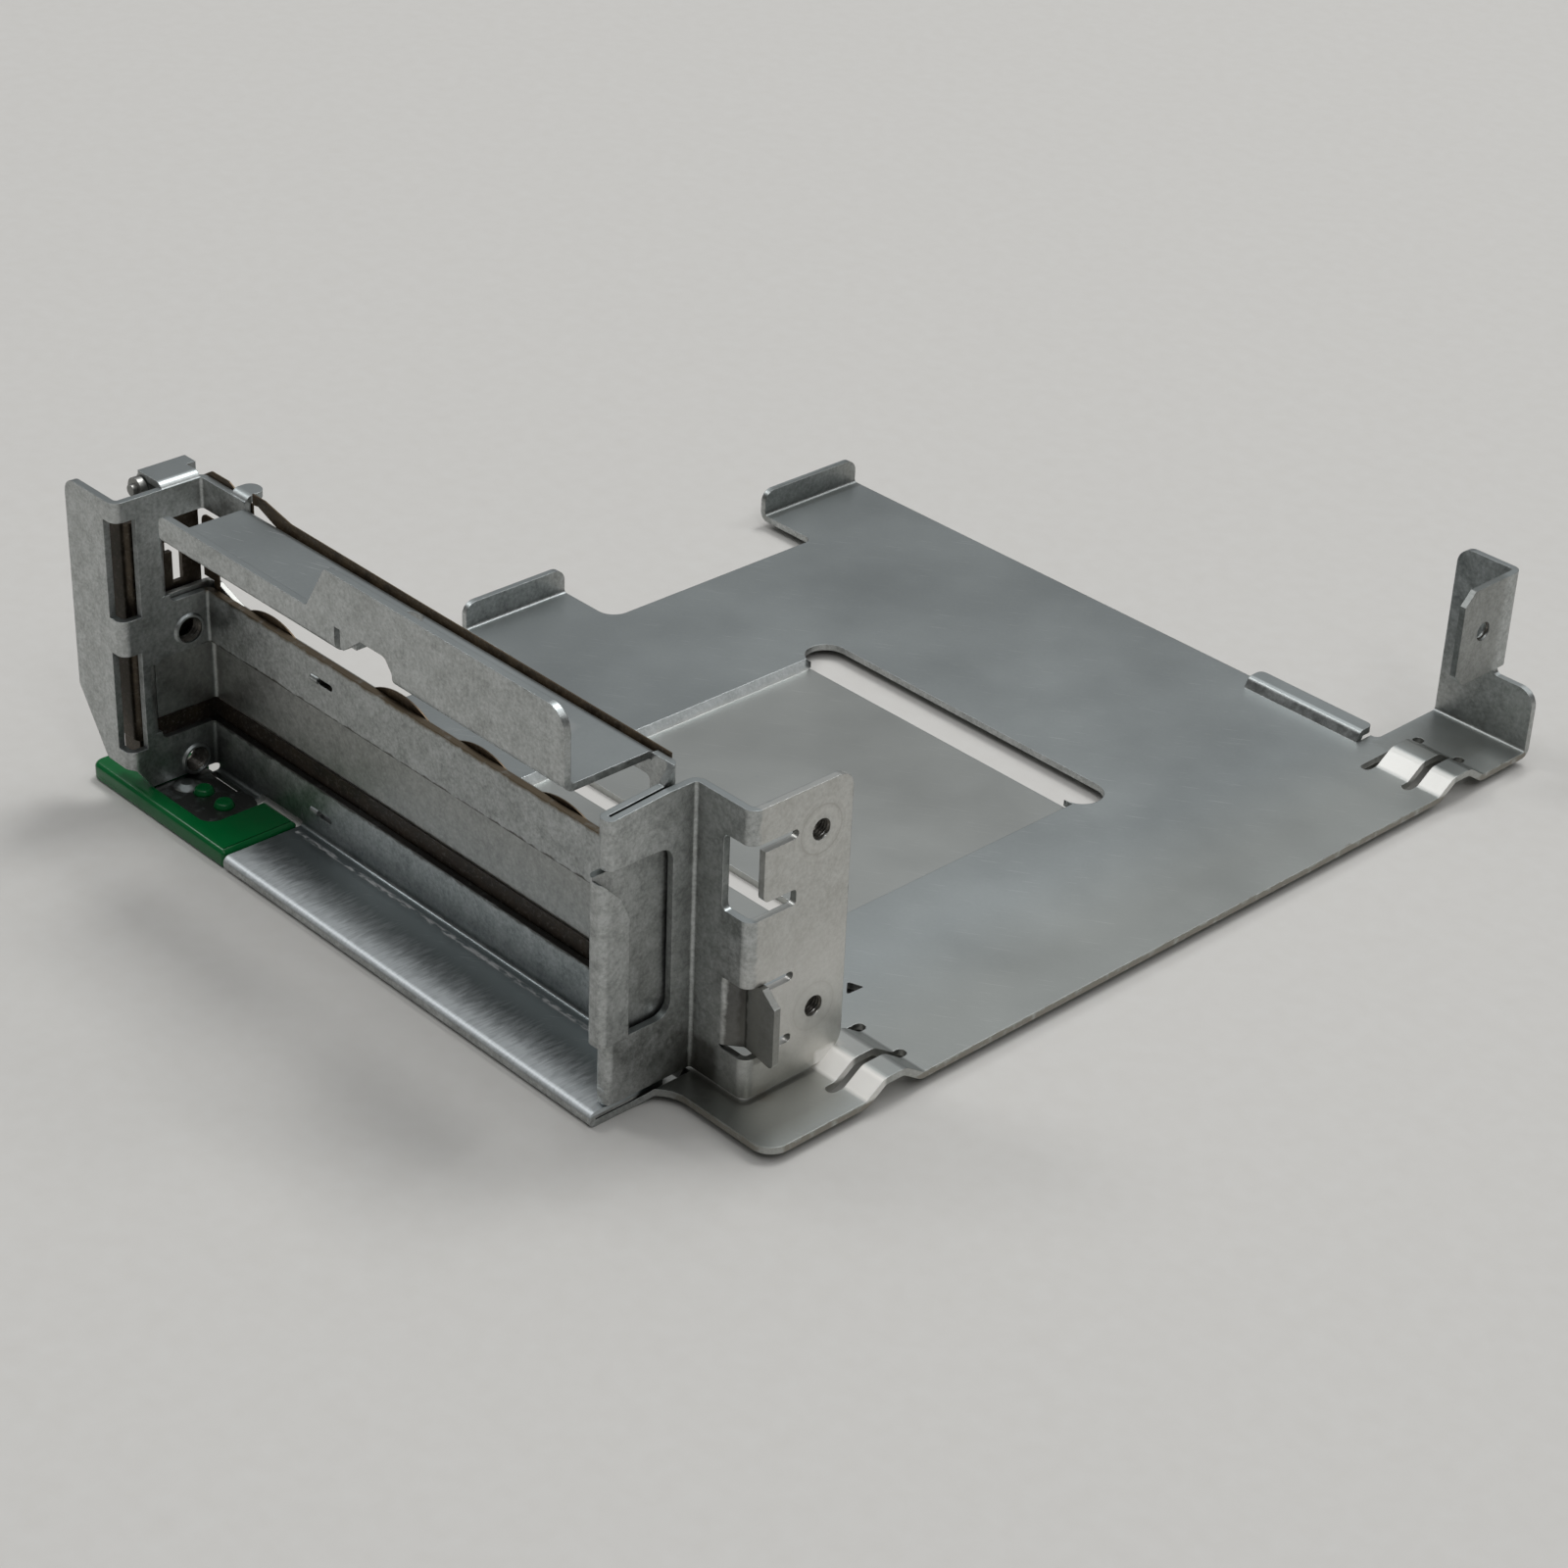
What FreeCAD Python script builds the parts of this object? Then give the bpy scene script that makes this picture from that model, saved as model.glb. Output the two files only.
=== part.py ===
import FreeCAD, Part
import math
import os

os.makedirs("parts", exist_ok=True)
V = FreeCAD.Vector

# Riser cage bracket, millimetres, +Z up, resting on the table at z = 0.
# X runs along the two card slots, Y runs away from the slot frame over the plate.
# The slot pitch is the standard 20.32 mm and sets the scale of everything else.
# Lengths below are taken from the slot frame's left front corner. The finished
# pieces are then moved, so that the origin is the middle of the part on the table.

# Sheet and its bends; cutting shapes run past the metal by `past`, or by `far`
sheet = 1.0
bend_in = 0.5
bend_out = bend_in + sheet
fit_gap = 0.15
past = 2.0
far = 300.0
drop = 1.2
plate_low = drop
plate_top = plate_low + sheet
frame_top = 47.0
wall_foot = plate_top + 0.6

# Slot frame
slot_pitch = 20.32
window_h = 12.4
window_low = 9.8
back_y = 13.9
back_rear = back_y + sheet
flange_left = -11.6
flange_foot = 6.5
flange_cut = 15.6
wall_a_foot = plate_top + 0.8
window_right = 91.0
opening_fronts = (5.4, 7.9)
screw_y = 10.6
screw_low = 4.85
screw_dia = 3.8
collar_dia = 4.8
lip_reach = 2.1
flange_windows = ((9.2, 24.1, 2.9), (29.4, 44.1, 3.3))
flange_reach = -2.7
dimples = ((25.6, 26.7), (24.4, 5.7))

# Rail folded forward from the top of the back wall
rail_top = 46.0
rail_left = 9.7
rail_right = 91.2
rail_front = 0.6
rail_short = 49.3
rail_tall = 55.9
rail_step = 41.7
step_run = 4.0
notch_left = 48.6
notch_right = 58.9
notch_top = 48.7
notch_deep = 6.0
rail_hole = (47.4, 12.2)

# Right-hand folds and the tapped plate
inner_x = 94.3
right_x = 96.7
nose_y = 2.8
right_top = 43.5
right_dip = 0.7
back_right_top = 45.7
strip_y = 16.2
tapped_x = 106.44
tapped_end = 32.4
tapped_hole_y = 27.4
tapped_low = 11.9
tapped_rise = 25.2
tap_dia = 2.9
pocket_low = 11.9
pocket_top = 36.0
pocket_rear = 12.8
flap_y = 5.8
flap_nose = 1.4
flap_proud = 0.4

# Cut-outs round the bend of the tapped plate, each with a tab left standing in it
cut_left = 101.6
cut_rear = 22.6
cut_end = 23.7
upper_cut = (28.1, 38.7)
upper_tab_y = 18.4
lower_cut = (8.4, 18.7)
lower_tab_y = 19.4
tab_slots = ((2.2, 1.3), (1.3, 1.3))
guide_back = 1.8
guide_end = 109.4

# Hem and ledge
hem_front = 0.8
ledge_left = 20.0
ledge_right = 95.9
wall_join = 92.7
hem_gap = drop - sheet

# Plate outline
plate_right = 115.65
plate_far = 147.3
plate_left = 0.8
ear_left = -9.9
ear_top = 6.3
near_ear = (66.0, 85.2)
far_ear = (127.2, plate_far)
foot_front = 12.0
foot_round = 5.0
foot_far = 160.8
foot_left = 99.4
panel_left = 30.4
panel_right = 82.5
ramp = 1.1
panel_far = 99.3
far_slot = (27.1, 85.4, panel_far, 106.0)
near_slot = (28.3, 85.1, 49.4, 53.1)
triangle = ((95.3, 44.5), (97.3, 42.4), (97.5, 45.3))
proud_x = (77.0, 98.2)
proud_y = (143.9, 147.6)
proud_low = 2.8

# Arched strips beside the two feet
arch_rise = 2.1
arch_near = (27.8, 38.2)
arch_far = (140.6, 151.2)
arch_slots = (103.6, 110.9)
arch_slot_w = 1.6

# Far foot upright
post_right = 109.9
post_top = 29.2
post_step = 11.9
post_left = 104.0
post_flange_y = 149.0
post_flange_z = 14.2
post_hole = (154.1, 21.9)

# Hinge and latch
pin_x = -4.9
pin_z = 45.6
pin_dia = 1.1
pin_gap = 0.04
eye_r = 1.0
roof_top = pin_z + eye_r + 0.1 + sheet
roof_far = -5.8
roof_front = 7.8
roof_rear = back_rear + 0.4
latch_t = 0.8
latch_face = -2.35
latch_z = (9.0, 42.3)
latch_y = (3.0, 14.6)

# Slot blank and contact plate
blank_t = 0.8
blank_low = 12.4
blank_w = 18.4
contact_t = 0.2
contact_y = back_rear + 0.1
contact_top = 47.8
contact_right = 93.4
hook_top = 47.7
hook_x = (6.5, 9.8)
hook_reach = 17.6
lobes = ((13.3, 31.1), (41.3, 31.4), (58.0, 30.9), (73.9, 30.7))
lobe_r = 11.7
blank_y = contact_y + contact_t + 0.1

# Touch pad
pad_left = -12.0
pad_right = ledge_left - 0.3
pad_front = 1.0
pad_rear = 13.3
pad_low = 0.2
pad_top = 2.75
pad_bead = 0.5
pad_notch = (0.4, 7.6)
tongue_left = -0.9
tongue_right = 12.4
tongue_front = 3.8
peg_dia = 2.6
pegs = ((4.4, 8.6), (9.2, 8.6))
dome_at = (1.5, 7.9)

# Origin: middle of the part's outline, on the table
middle_x = (pad_left + plate_right) / 2
middle_y = (foot_far + sheet) / 2


def unit(x, y):
    length = math.hypot(x, y)
    return x / length, y / length


def to_space(plane, u, v, w):
    if plane == "xy":
        return V(u, v, w)
    if plane == "xz":
        return V(u, w, v)
    return V(w, u, v)


def outline(plane, points, w0, w1):
    """Extrude a closed outline; each point is (u, v, corner radius)."""
    runs = []
    count = len(points)
    for i in range(count):
        bu, bv, radius = points[i]
        au, av = points[i - 1][:2]
        cu, cv = points[(i + 1) % count][:2]
        d1 = unit(au - bu, av - bv)
        d2 = unit(cu - bu, cv - bv)
        dot = max(-1.0, min(1.0, d1[0] * d2[0] + d1[1] * d2[1]))
        angle = math.acos(dot)
        if radius <= 0 or angle > math.pi - 1e-4:
            runs.append(((bu, bv), None, (bu, bv)))
            continue
        cut = radius / math.tan(angle / 2)
        mid = unit(d1[0] + d2[0], d1[1] + d2[1])
        reach = radius / math.sin(angle / 2) - radius
        runs.append((
            (bu + d1[0] * cut, bv + d1[1] * cut),
            (bu + mid[0] * reach, bv + mid[1] * reach),
            (bu + d2[0] * cut, bv + d2[1] * cut)))
    edges = []
    for i in range(count):
        start, mid, end = runs[i]
        if mid:
            arc = [to_space(plane, p[0], p[1], w0) for p in (start, mid, end)]
            edges.append(Part.Arc(*arc).toShape())
        after = runs[(i + 1) % count][0]
        if math.hypot(after[0] - end[0], after[1] - end[1]) > 1e-4:
            edges.append(Part.makeLine(
                to_space(plane, end[0], end[1], w0),
                to_space(plane, after[0], after[1], w0)))
    face = Part.Face(Part.Wire(edges))
    along = to_space(plane, 0, 0, w1 - w0)
    return face.extrude(along)


def bent(plane, path, w0, w1, side, thick=sheet, radii=None):
    """Extrude a folded sheet from the path of one face; side 1 is left of travel."""
    count = len(path)
    radii = radii or [bend_in] * count
    normals = []
    for i in range(count - 1):
        du, dv = unit(path[i + 1][0] - path[i][0], path[i + 1][1] - path[i][1])
        normals.append((-dv * side, du * side))
    face = []
    back = []
    for i in range(count):
        u, v = path[i]
        if i in (0, count - 1):
            n = normals[0] if i == 0 else normals[-1]
            face.append((u, v, 0))
            back.append((u + n[0] * thick, v + n[1] * thick, 0))
            continue
        n1 = normals[i - 1]
        n2 = normals[i]
        m = unit(n1[0] + n2[0], n1[1] + n2[1])
        reach = thick / (m[0] * n1[0] + m[1] * n1[1])
        turn = (n1[0] * n2[1] - n1[1] * n2[0]) * side
        outer = radii[i] + thick
        face.append((u, v, outer if turn > 0 else radii[i]))
        back.append((u + m[0] * reach, v + m[1] * reach, radii[i] if turn > 0 else outer))
    return outline(plane, face + back[::-1], w0, w1)


def box(x0, x1, y0, y1, z0, z1):
    return Part.makeBox(x1 - x0, y1 - y0, z1 - z0, V(x0, y0, z0))


def rod(axis, a, b, c, radius, length):
    """Cylinder starting at (a, b, c) and running along one axis."""
    way = {"x": V(1, 0, 0), "y": V(0, 1, 0), "z": V(0, 0, 1)}[axis]
    return Part.makeCylinder(radius, length, V(a, b, c), way)


def corner_cut(plane, u, v, radius, out_u, out_v, w0, w1):
    """Cutter that rounds the corner (u, v); out_u and out_v point away from the metal."""
    leg = radius + 0.1
    return outline(plane, [
        (u - out_u * leg, v, 0), (u, v, radius), (u, v - out_v * leg, 0),
        (u + out_u, v + out_v, 0)], w0, w1)


def rounded_slot(plane, u0, u1, v0, v1, w0, w1, radius=None):
    """Straight slot with fully rounded ends, or the given corner radius."""
    radius = radius or min(u1 - u0, v1 - v0) / 2 - 0.001
    corners = [(u0, v0, radius), (u1, v0, radius), (u1, v1, radius), (u0, v1, radius)]
    return outline(plane, corners, w0, w1)


def join(first, others):
    return first.multiFuse(others).removeSplitter()


def only_solid(shape):
    solids = shape.Solids
    return max(solids, key=lambda s: s.Volume) if solids else shape


def save(name, shape):
    whole = only_solid(shape)
    whole.translate(V(-middle_x, -middle_y, 0))
    whole.exportStep("parts/" + name + ".step")
    print(name, len(shape.Solids), "valid" if whole.isValid() else "INVALID", round(whole.Volume, 1))


# Slot frame in plan: left flange, wall A, back wall, right U fold, strip, tapped plate
plan = [
    (flange_left, 0), (0, 0), (0, back_y), (inner_x, back_y), (inner_x, nose_y),
    (right_x, nose_y), (right_x, strip_y), (tapped_x, strip_y), (tapped_x, tapped_end)]
frame = bent(
    "xy", plan, wall_foot, frame_top, 1,
    radii=[0, bend_in, bend_in, bend_in, 0, 0, bend_in, bend_in, 0])

# Trim the frame's heights
rail_join = rail_top - sheet - bend_out - 0.5
ledge_join = plate_top + bend_out + 1.3
tongue_x = (0.6, 10.5)
frame = frame.cut(box(rail_right, far, -far, far, back_right_top, far))
right_nose = [(-past, far, 0), (-past, right_top - right_dip, 0), (nose_y, right_top - right_dip, 0)]
frame = frame.cut(outline("yz", right_nose + [
    (back_y - 2.0, right_top, 0), (back_y - 1.6, right_top, 0), (back_y + 0.1, back_right_top, 0),
    (back_y + 0.1, far, 0)], inner_x - 0.8, far))
frame = frame.cut(outline("yz", right_nose + [
    (back_y - 2.0, right_top, 0), (far, right_top, 0), (far, far, 0)], right_x - 1.3, far))
frame = frame.cut(box(ledge_left - 0.1, wall_join, back_y - past, back_rear + past, 0, ledge_join))
frame = frame.cut(box(rail_left, rail_right, back_y - past, back_rear + past, rail_join + 0.5, far))
frame = frame.cut(box(tongue_x[0], tongue_x[1], back_y - past, back_rear + past, 0, ledge_join))
frame = frame.cut(box(-far, tongue_x[0], -far, back_rear + past, 0, wall_a_foot))

# Left flange: chamfer, raised foot and rounded top corner
frame = frame.cut(outline("xz", [
    (flange_left - past, flange_cut, 0), (flange_left, flange_cut, 0), (-5.6, flange_foot, 1.0),
    (0, flange_foot, 2.0), (past, 0, 0), (flange_left - past, 0, 0)], -past, sheet + 0.2))
frame = frame.cut(outline("yz", [
    (-past, flange_foot, 0), (0.9, flange_foot, 1.5), (3.4, wall_a_foot, 1.2),
    (3.4, 0, 0), (-past, 0, 0)], -1.4, 0.3))
frame = frame.cut(corner_cut("xz", flange_left, frame_top, 2.2, -1, 1, -past, past))

# Hem, ledge, lower wall and rail in section
ledge_rear = 15.0
ledge = bent("yz", [
    (ledge_rear + 1.0, 0), (hem_front, 0), (hem_front, plate_top), (back_y, plate_top),
    (back_y, ledge_join + 1.0)], ledge_left, ledge_right, -1, radii=[0, 0, 0, bend_in, 0])
ledge = ledge.cut(box(
    wall_join, far, back_y - bend_out + 0.1, back_rear + past, sheet + 0.1, far))
tongue_wall = bent("yz", [
    (back_y - bend_out - 1.4, plate_top), (back_y, plate_top), (back_y, ledge_join + 1.0)],
    tongue_x[0], tongue_x[1], -1)
rail = bent("yz", [
    (back_y, rail_join), (back_y, rail_top - sheet), (rail_front, rail_top - sheet),
    (rail_front, rail_tall)], rail_left, rail_right, -1)
tongue = outline("xy", [
    (tongue_left, tongue_front, 0.8), (tongue_right, tongue_front, 2.2), (tongue_right, 12.7, 1.8),
    (tongue_x[1], 12.7, 0), (tongue_x[0], 12.7, 0), (tongue_left, 12.7, 0.8)], plate_low, plate_top)

# Rail outline: short left part, slanted step, tall right part with a rounded corner
flange_y = (rail_front - past, rail_front + sheet + past)
step_top = rail_step + step_run
rail = rail.cut(outline("xz", [
    (rail_left - past, rail_short, 0), (rail_step, rail_short, 0.8), (step_top, rail_tall, 0.8),
    (step_top + past, rail_tall, 0), (step_top + past, far, 0), (rail_left - past, far, 0)], *flange_y))
rail = rail.cut(corner_cut("xz", rail_right, rail_tall, 3.0, 1, 1, *flange_y))
rail = rail.cut(corner_cut("xz", rail_left, rail_short, 1.4, -1, 1, *flange_y))

# Notch where the rail bends, with a slanted left edge, a relief slit and a hole behind it
notch_low = rail_top - sheet - past
rail = rail.cut(outline("xz", [
    (notch_left, notch_low, 0), (notch_left, rail_top - 0.4, 0), (notch_left + 4.0, notch_top, 0.8),
    (notch_right - 1.4, notch_top, 1.2), (notch_right, notch_top - 1.8, 1.0),
    (notch_right, notch_low, 0)], rail_front - past, rail_front + bend_out + 0.3))
rail = rail.cut(rounded_slot(
    "xy", notch_left, notch_right, rail_front - past, notch_deep, notch_low, rail_top + 0.01, 1.2))
rail = rail.cut(box(
    notch_left - 1.2, notch_left, rail_front - past, rail_front + bend_out + 0.9, rail_top - 1.6, notch_top))
rail = rail.cut(rod("z", rail_hole[0], rail_hole[1], notch_low, 1.7, 2 * past + sheet))

# Hook that holds the contact plate, above the left end of the back wall
hook = bent("yz", [
    (back_y, rail_join), (back_y, hook_top), (hook_reach, hook_top)], hook_x[0], hook_x[1], -1)
hook = hook.common(rounded_slot("xy", hook_x[0], hook_x[1], 10, hook_reach, rail_join, hook_top, 1.5))

# Hinge roof folded over from wall A, with two drilled ears
roof = bent("xz", [(0, rail_join), (0, roof_top), (roof_far, roof_top)], roof_front, back_y, 1)
roof_tab = box(roof_far, pin_x + 1.6, roof_front, roof_rear, roof_top - sheet, roof_top)
ear_path = [
    (pin_x - 1.3, pin_z - 1.6, 1.2), (pin_x + 1.6, pin_z - 1.6, 1.2),
    (pin_x + 1.6, roof_top - 0.5, 0), (roof_far, roof_top - 0.5, 0), (pin_x - 1.3, roof_top - sheet, 0)]
ears = [outline("xz", ear_path, y, y + sheet) for y in (roof_front, roof_rear - sheet)]

frame = join(frame, [ledge, tongue_wall, rail, tongue, hook, roof, roof_tab] + ears)
frame = frame.cut(rod("y", pin_x, roof_front - 1.0, pin_z, pin_dia / 2 + pin_gap / 2, 12))

# Card windows and the openings that wrap round wall A, each with a lip turned back
for n in (0, 1):
    low = window_low + n * slot_pitch
    high = low + window_h
    front = opening_fronts[n]
    frame = frame.cut(rounded_slot(
        "xz", -past, window_right, low, high, back_y - 1.4, back_rear + past, 0.8))
    frame = frame.cut(rounded_slot("yz", front, back_rear + past, low, high, -2.5, 3.0, 1.0))
    lip_z = (low + 1.2, high - 0.6)
    lip = bent("xy", [(-lip_reach, front), (0, front), (0, front - 2.0)], lip_z[0], lip_z[1], -1)
    frame = frame.cut(box(-1.2, 0.2, front - bend_out, front + 0.2, lip_z[0], lip_z[1])).fuse(lip)

# Windows through the flange bend
for low, high, reach in flange_windows:
    frame = frame.cut(box(flange_reach, past, -past, reach, low, high))

# Tapped screw collars on wall A
for n in (0, 1):
    z = screw_low + n * slot_pitch
    collar = Part.makeCone(collar_dia / 2, screw_dia / 2 + 0.3, 0.4, V(0, screw_y, z), V(1, 0, 0))
    frame = frame.fuse(collar)
    frame = frame.cut(rod("x", -4, screw_y, z, screw_dia / 2, 8))

# Lanced contact dimples in the back wall
for x, z in dimples:
    bump = rod("x", x - 2.2, back_y + 0.2, z, 0.55, 1.6)
    frame = frame.fuse(bump)
    frame = frame.cut(rounded_slot(
        "xz", x - 0.6, x + 2.4, z - 0.45, z + 0.45, back_y - past, back_rear + past))

# Pocket in the outer right wall, with the rounded guide flap kept at its front
frame = frame.cut(outline("yz", [
    (-past, pocket_low, 0), (pocket_rear, pocket_low, 2.2), (pocket_rear, pocket_top, 2.2),
    (-past, pocket_top, 0)], inner_x + sheet, right_x + past))
frame = frame.cut(box(inner_x - past, right_x, -past, nose_y + bend_out, pocket_low, pocket_top))
flap_x = right_x + flap_proud
flap = bent("xy", [
    (inner_x, flap_y - 0.8), (inner_x, flap_nose), (flap_x, flap_nose), (flap_x, flap_y)],
    pocket_low, pocket_top - 0.6, 1, radii=[0, 0, 0, 0])
flap = flap.cut(outline("yz", [
    (flap_nose - 1, pocket_top - 1.0, 0), (flap_nose + 0.4, pocket_top - 1.2, 0.5),
    (flap_y - 1.3, pocket_top - 4.0, 2.2), (flap_y, pocket_top - 7.2, 0),
    (flap_y + 1, pocket_top - 7.2, 0), (flap_y + 1, pocket_top, 0),
    (flap_nose - 1, pocket_top, 0)], inner_x + sheet, flap_x + past))
frame = frame.fuse(flap)
frame = frame.cut(outline("yz", [
    (nose_y - 1, wall_foot, 0), (nose_y + 2.2, wall_foot, 1.6), (nose_y, 5.2, 0),
    (nose_y - 1, 5.2, 0)], inner_x - 0.3, right_x + past))

# Cut-outs round the bend of the tapped plate: an open one above, a guide tab below
tapped_back = tapped_x - sheet
bend_x = tapped_x - bend_out
for low, high in (upper_cut, lower_cut):
    frame = frame.cut(box(bend_x, tapped_x + past, strip_y - 1, cut_rear, low, high))
    frame = frame.cut(outline("xz", [
        (cut_left, low, 0.8), (bend_x + 0.1, low, 0), (bend_x + 0.1, high, 0),
        (cut_left, high, 0.8)], strip_y - 1, strip_y + sheet + 0.4))
for (low, high), (slot_low, slot_high), front in (
        (upper_cut, tab_slots[0], upper_tab_y), (lower_cut, tab_slots[1], lower_tab_y)):
    for v0, v1 in ((low, low + slot_low), (high - slot_high, high)):
        frame = frame.cut(rounded_slot(
            "yz", cut_rear - 1.5, cut_end, v0, v1, bend_x, tapped_x + past, tab_slots[0][1] / 2 - 0.01))
    frame = frame.fuse(outline("yz", [
        (front, low + slot_low, 0.8), (cut_rear, low + slot_low, 0), (cut_rear, high - slot_high, 0),
        (front, high - slot_high, 0)], tapped_back, tapped_x))
guide_y = strip_y + guide_back
guide = bent("xy", [
    (cut_left - 0.8, strip_y), (cut_left + 0.6, strip_y), (cut_left + 2.8, guide_y),
    (guide_end, guide_y)], lower_cut[0] - 0.2, lower_cut[1] - 0.1, 1, radii=[0, 0, 0, 0])
guide = guide.cut(outline("xz", [
    (cut_left - 1, lower_cut[0] + 0.5, 0), (guide_end - 4.5, lower_cut[0] + 0.5, 0),
    (guide_end - 0.8, lower_cut[0] - 0.2, 0), (guide_end - 0.8, lower_cut[0] - 1, 0),
    (cut_left - 1, lower_cut[0] - 1, 0)], strip_y - 1, guide_y + past))
guide = guide.cut(outline("xz", [
    (guide_end - 2.3, lower_cut[1], 0), (guide_end, lower_cut[1] - 2.0, 0.5),
    (guide_end + 1, lower_cut[1] - 2.0, 0), (guide_end + 1, lower_cut[1], 0)], strip_y - 1, guide_y + past))
guide = guide.cut(corner_cut("xz", guide_end, lower_cut[0] - 0.2, 0.7, 1, -1, strip_y - 1, guide_y + past))
frame = frame.fuse(guide)
frame = frame.cut(corner_cut("yz", tapped_end, right_top, 2.2, 1, 1, bend_x, tapped_x + past))
frame = frame.cut(corner_cut("yz", tapped_end, wall_foot, 3.8, 1, -1, bend_x, tapped_x + past))
for n in (0, 1):
    frame = frame.cut(rod("x", bend_x, tapped_hole_y, tapped_low + n * tapped_rise, tap_dia / 2, 5))

# Plate with its ears, feet, lowered panel and ramps
ear_edge = ear_left + bend_in
deck = outline("xy", [
    (ledge_right + ramp, foot_front - foot_round, 0), (ledge_right + foot_round, foot_front - foot_round, 0),
    (ledge_right + foot_round, foot_front, 0), (plate_right, foot_front, 3.0),
    (plate_right, foot_far - bend_in, 0), (foot_left, foot_far - bend_in, 0),
    (foot_left, plate_far, 1.0), (ear_edge, far_ear[1], 0), (ear_edge, far_ear[0], 0),
    (1.2, far_ear[0], 1.5), (1.2, near_ear[1], 3.0), (ear_edge, near_ear[1], 0),
    (ear_edge, near_ear[0], 0), (plate_left, near_ear[0], 0), (plate_left, ledge_rear + ramp, 0),
    (ledge_right + ramp, ledge_rear + ramp, 0)], plate_low, plate_top)
deck = deck.cut(box(panel_left - ramp, panel_right + ramp, ledge_rear - 1, panel_far, 0, 5))
low_strip = box(ledge_left, ledge_right, foot_front - 1.4, ledge_rear, 0, sheet)
panel = box(panel_left, panel_right, ledge_rear, panel_far, 0, sheet)


def ramp_step(at, out):
    """Section of the joggle from the lowered metal up to the plate, going one way."""
    return [(at, 0, 0), (at + out * ramp, plate_low, 0), (at + out * ramp, plate_top, 0), (at, sheet, 0)]


ramps = [
    outline("xz", ramp_step(panel_left, -1), ledge_rear, panel_far),
    outline("xz", ramp_step(panel_right, 1), ledge_rear, panel_far),
    outline("yz", ramp_step(ledge_rear, 1), ledge_left, panel_left),
    outline("yz", ramp_step(ledge_rear, 1), panel_right, ledge_right),
    outline("xz", ramp_step(ledge_right, 1), foot_front - foot_round, ledge_rear + ramp)]

# Upright tabs on the two ears
tabs = []
for y0, y1 in (near_ear, far_ear):
    tab = bent("xz", [(ear_edge + 0.7, plate_top), (ear_left, plate_top), (ear_left, ear_top)], y0, y1, 1)
    tabs.append(tab.common(outline("yz", [
        (y0, 0, 0), (y1, 0, 0), (y1, ear_top, 2.0), (y0, ear_top, 2.0)],
        ear_left - past, ear_left + past)))

# Joggled tongue standing a little proud of the far edge
proud = bent("yz", [
    (proud_y[0], plate_low), (proud_y[0] + 0.6, plate_low), (proud_y[0] + 1.5, proud_low),
    (proud_y[1], proud_low)], proud_x[0], proud_x[1], 1, radii=[0, 0, 0, 0])
deck = deck.cut(box(proud_x[0], proud_x[1], proud_y[0] + 0.1, plate_far + past, 0, 5))
proud = proud.common(rounded_slot("xy", proud_x[0], proud_x[1], 120, proud_y[1], 0, 6, 1.0))

# Arched strips between the plate and each foot
arches = []
for y0, y1 in (arch_near, arch_far):
    for centre in arch_slots:
        deck = deck.cut(rounded_slot(
            "xy", centre - arch_slot_w / 2, centre + arch_slot_w / 2, y0 - 1.8, y1 + 1.2, 0, 6))
    deck = deck.cut(box(arch_slots[0], plate_right + 1, y0, y1, 0, 6))
    crest = plate_top + arch_rise
    for x0, x1 in (
            (arch_slots[0] + arch_slot_w / 2, arch_slots[1] - arch_slot_w / 2),
            (arch_slots[1] + arch_slot_w / 2, plate_right)):
        arches.append(bent("yz", [
            (y0 - 0.6, plate_top), (y0 + 0.3, plate_top), (y0 + 3.4, crest), (y1 - 3.4, crest),
            (y1 - 0.3, plate_top), (y1 + 0.6, plate_top)], x0, x1, -1,
            radii=[0, 1.2, 1.2, 1.2, 1.2, 0]))

# Far foot upright with its tapped flange
post = bent("yz", [(foot_far - 2.0, plate_top), (foot_far, plate_top), (foot_far, post_top)],
            foot_left, plate_right, -1)
post_cut = (foot_far - past, foot_far + sheet + past)
post = post.cut(outline("xz", [
    (post_right - 1.6, far, 0), (post_right - 1.6, post_step, 0.8), (plate_right, post_step, 2.6),
    (plate_right, post_step - 3, 0), (plate_right + past, post_step - 3, 0),
    (plate_right + past, far, 0)], *post_cut))
post = post.cut(corner_cut("xz", foot_left, post_top, 2.5, -1, 1, *post_cut))
post_flange = bent("xy", [
    (post_left, foot_far + sheet), (post_right, foot_far + sheet), (post_right, post_flange_y)],
    post_flange_z, post_top, -1)
post_flange = post_flange.cut(outline("yz", [
    (post_flange_y - 1, post_flange_z, 0), (post_flange_y + 2, post_flange_z, 0),
    (post_flange_y, post_flange_z + 2, 0), (post_flange_y, post_top - 2, 0),
    (post_flange_y + 2, post_top, 0), (post_flange_y - 1, post_top, 0)],
    post_right - past, post_right + past))
post = post.fuse(post_flange)
post = post.cut(rod("x", post_right - 5, post_hole[0], post_hole[1], tap_dia / 2, 10))

plate = join(deck, [panel, low_strip, proud, post] + ramps + tabs + arches)
for slot in (far_slot, near_slot):
    plate = plate.cut(rounded_slot("xy", *slot, -1, 5))
plate = plate.cut(rod(
    "z", ledge_right + foot_round, foot_front - foot_round, -past, foot_round, past + wall_foot - 0.1))
plate = plate.cut(outline("xy", [(x, y, 0.2) for x, y in triangle], 0, 5))

cage = join(frame, [plate])

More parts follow.
